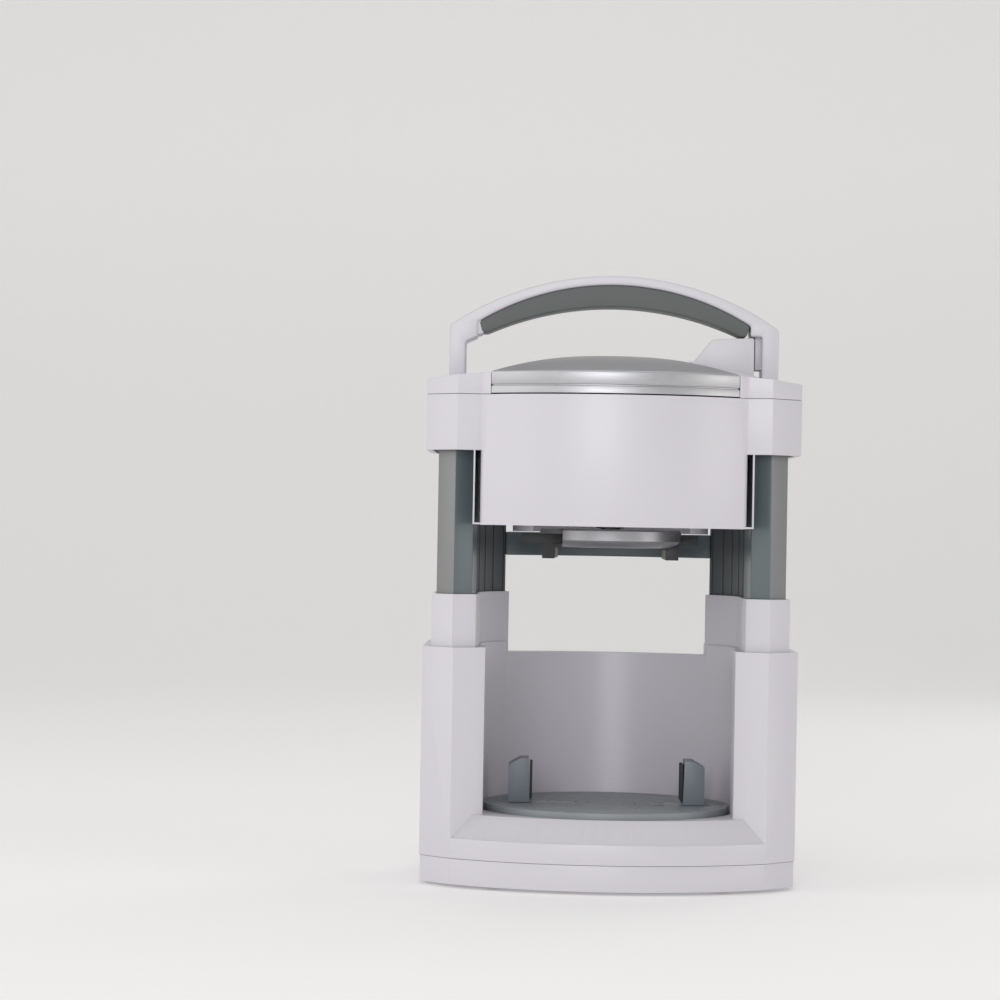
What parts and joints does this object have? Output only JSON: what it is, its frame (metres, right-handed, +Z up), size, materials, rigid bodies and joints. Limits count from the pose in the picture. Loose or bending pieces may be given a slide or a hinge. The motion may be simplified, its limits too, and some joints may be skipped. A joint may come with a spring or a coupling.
{
  "type": "electric jar opener",
  "caption": "Countertop powered jar opener: a base with a jar turntable and two towers, and a sliding head with a lid clamp, domed lid, arched handle and start button.",
  "frame": {"origin": "on the floor plane under the middle of the turntable, at the centre of the footprint", "axes": "+Z up along the turntable's axis, -Y towards the user, +X to the user's right"},
  "size_m": [0.221, 0.183, 0.363],
  "materials": {
    "white_housing": "fine moulded semi-gloss white",
    "silver_lid": "brushed silver paint",
    "rail_plastic": "satin blue-grey",
    "grip_rubber": "matt soft-touch grey",
    "turntable_plastic": "satin dark blue-grey",
    "jaw_plastic": "satin black",
    "pad_rubber": "matt black ribbed",
    "lid_pad_rubber": "matt pale ribbed",
    "foot_rubber": "matt",
    "gear_plastic": "natural acetal",
    "bright_steel": "bright",
    "board_parts": "circuit board"
  },
  "bodies": {
    "base": {"base_pan": "white_housing", "base_shell": "white_housing", "feet": "foot_rubber", "base_screws": "bright_steel", "sleeve_left": "white_housing", "sleeve_right": "white_housing", "turntable_bush": "gear_plastic"},
    "turntable": {"turntable": "turntable_plastic", "turntable_plate": "turntable_plastic", "turntable_gear": "gear_plastic"},
    "jar_jaw_left": {"jar_jaw_left": "rail_plastic", "jar_pad_left": "pad_rubber"},
    "jar_jaw_right": {"jar_jaw_right": "rail_plastic", "jar_pad_right": "pad_rubber"},
    "jar_pinion": {"jar_pinion": "gear_plastic"},
    "drive_tube": {"drive_tube": "bright_steel", "tube_gear": "gear_plastic"},
    "base_idler_inner": {"base_idler_inner": "gear_plastic"},
    "base_idler_outer": {"base_idler_outer": "gear_plastic"},
    "head": {"head_shell": "white_housing", "gear_plate": "bright_steel", "plate_screws": "bright_steel", "top_cover": "white_housing", "lid_cover": "silver_lid", "rail_left": "rail_plastic", "rail_right": "rail_plastic", "rear_crossbar": "rail_plastic", "handle_shell": "white_housing", "handle_grip": "grip_rubber", "button_bezel": "white_housing", "button_spring": "bright_steel", "start_switch": "jaw_plastic", "motor": "bright_steel", "spindle_bush_low": "gear_plastic", "spindle_bush_top": "gear_plastic", "control_board": "board_parts", "cord_bush": "jaw_plastic"},
    "start_button": {"start_button": "white_housing"},
    "motor_pinion": {"motor_pinion": "bright_steel"},
    "lid_clamp": {"lid_drum": "silver_lid", "drum_cover": "silver_lid", "spindle": "bright_steel", "spindle_gear": "gear_plastic"},
    "head_idler": {"head_idler": "gear_plastic"},
    "drive_rod": {"drive_rod": "bright_steel", "rod_gear": "gear_plastic"},
    "lid_jaw_left": {"lid_jaw_left": "jaw_plastic", "lid_pad_left": "lid_pad_rubber"},
    "lid_jaw_right": {"lid_jaw_right": "jaw_plastic", "lid_pad_right": "lid_pad_rubber"},
    "lid_pinion": {"lid_pinion": "gear_plastic"}
  },
  "joints": [
    {"name": "head_slide", "type": "slide", "parent": "base", "child": "head", "axis": [0, 0, 1], "range_m": [-0.114, 0.01]},
    {"name": "turntable_spin", "type": "hinge", "parent": "base", "child": "turntable", "pos_m": [0, 0, 0.04], "axis": [0, 0, 1], "continuous": true},
    {"name": "jar_jaw_left_slide", "type": "slide", "parent": "turntable", "child": "jar_jaw_left", "axis": [-1, 0, 0], "range_m": [-0.028, 0.008]},
    {"name": "jar_jaw_right_slide", "type": "slide", "parent": "turntable", "child": "jar_jaw_right", "axis": [1, 0, 0], "range_m": [-0.028, 0.008]},
    {"name": "jar_pinion_turn", "type": "hinge", "parent": "turntable", "child": "jar_pinion", "pos_m": [0, 0, 0.038], "axis": [0, 0, 1], "range_deg": [-62, 214.5]},
    {"name": "tube_spin", "type": "hinge", "parent": "base", "child": "drive_tube", "pos_m": [0.09125, 0, 0.022], "axis": [0, 0, 1], "continuous": true},
    {"name": "base_idler_inner_spin", "type": "hinge", "parent": "base", "child": "base_idler_inner", "pos_m": [0.04875, 0, 0.022], "axis": [0, 0, 1], "continuous": true},
    {"name": "base_idler_outer_spin", "type": "hinge", "parent": "base", "child": "base_idler_outer", "pos_m": [0.07125, 0, 0.022], "axis": [0, 0, 1], "continuous": true},
    {"name": "lid_clamp_spin", "type": "hinge", "parent": "head", "child": "lid_clamp", "pos_m": [0, 0, 0.212], "axis": [0, 0, 1], "continuous": true},
    {"name": "head_idler_spin", "type": "hinge", "parent": "head", "child": "head_idler", "pos_m": [0.06, 0, 0.291], "axis": [0, 0, 1], "continuous": true},
    {"name": "rod_spin", "type": "hinge", "parent": "head", "child": "drive_rod", "pos_m": [0.09125, 0, 0.291], "axis": [0, 0, 1], "continuous": true},
    {"name": "motor_spin", "type": "hinge", "parent": "head", "child": "motor_pinion", "pos_m": [-0.03182, 0.03182, 0.291], "axis": [0, 0, 1], "continuous": true},
    {"name": "lid_jaw_left_slide", "type": "slide", "parent": "lid_clamp", "child": "lid_jaw_left", "axis": [-1, 0, 0], "range_m": [-0.021, 0.018]},
    {"name": "lid_jaw_right_slide", "type": "slide", "parent": "lid_clamp", "child": "lid_jaw_right", "axis": [1, 0, 0], "range_m": [-0.021, 0.018]},
    {"name": "lid_pinion_turn", "type": "hinge", "parent": "lid_clamp", "child": "lid_pinion", "pos_m": [0, 0, 0.205], "axis": [0, 0, 1], "range_deg": [-138, 161]},
    {"name": "button_press", "type": "slide", "parent": "head", "child": "start_button", "axis": [0, 0, -1], "range_m": [0, 0.004], "stiffness_N_per_m": 400, "springref_m": -0.002}
  ],
  "couplings": [
    {"joint": "jar_jaw_right_slide", "follows": "jar_jaw_left_slide", "ratio": 1},
    {"joint": "jar_pinion_turn", "follows": "jar_jaw_left_slide", "rad_per_m": -133.33},
    {"joint": "lid_jaw_right_slide", "follows": "lid_jaw_left_slide", "ratio": 1},
    {"joint": "lid_pinion_turn", "follows": "lid_jaw_left_slide", "rad_per_m": -133.33},
    {"joint": "base_idler_inner_spin", "follows": "turntable_spin", "ratio": -3.3333},
    {"joint": "base_idler_outer_spin", "follows": "turntable_spin", "ratio": 3.3333},
    {"joint": "tube_spin", "follows": "turntable_spin", "ratio": -4.2857},
    {"joint": "rod_spin", "follows": "turntable_spin", "ratio": -4.2857},
    {"joint": "head_idler_spin", "follows": "turntable_spin", "ratio": 1.6667},
    {"joint": "lid_clamp_spin", "follows": "turntable_spin", "ratio": -1},
    {"joint": "motor_spin", "follows": "turntable_spin", "ratio": 5}
  ]
}
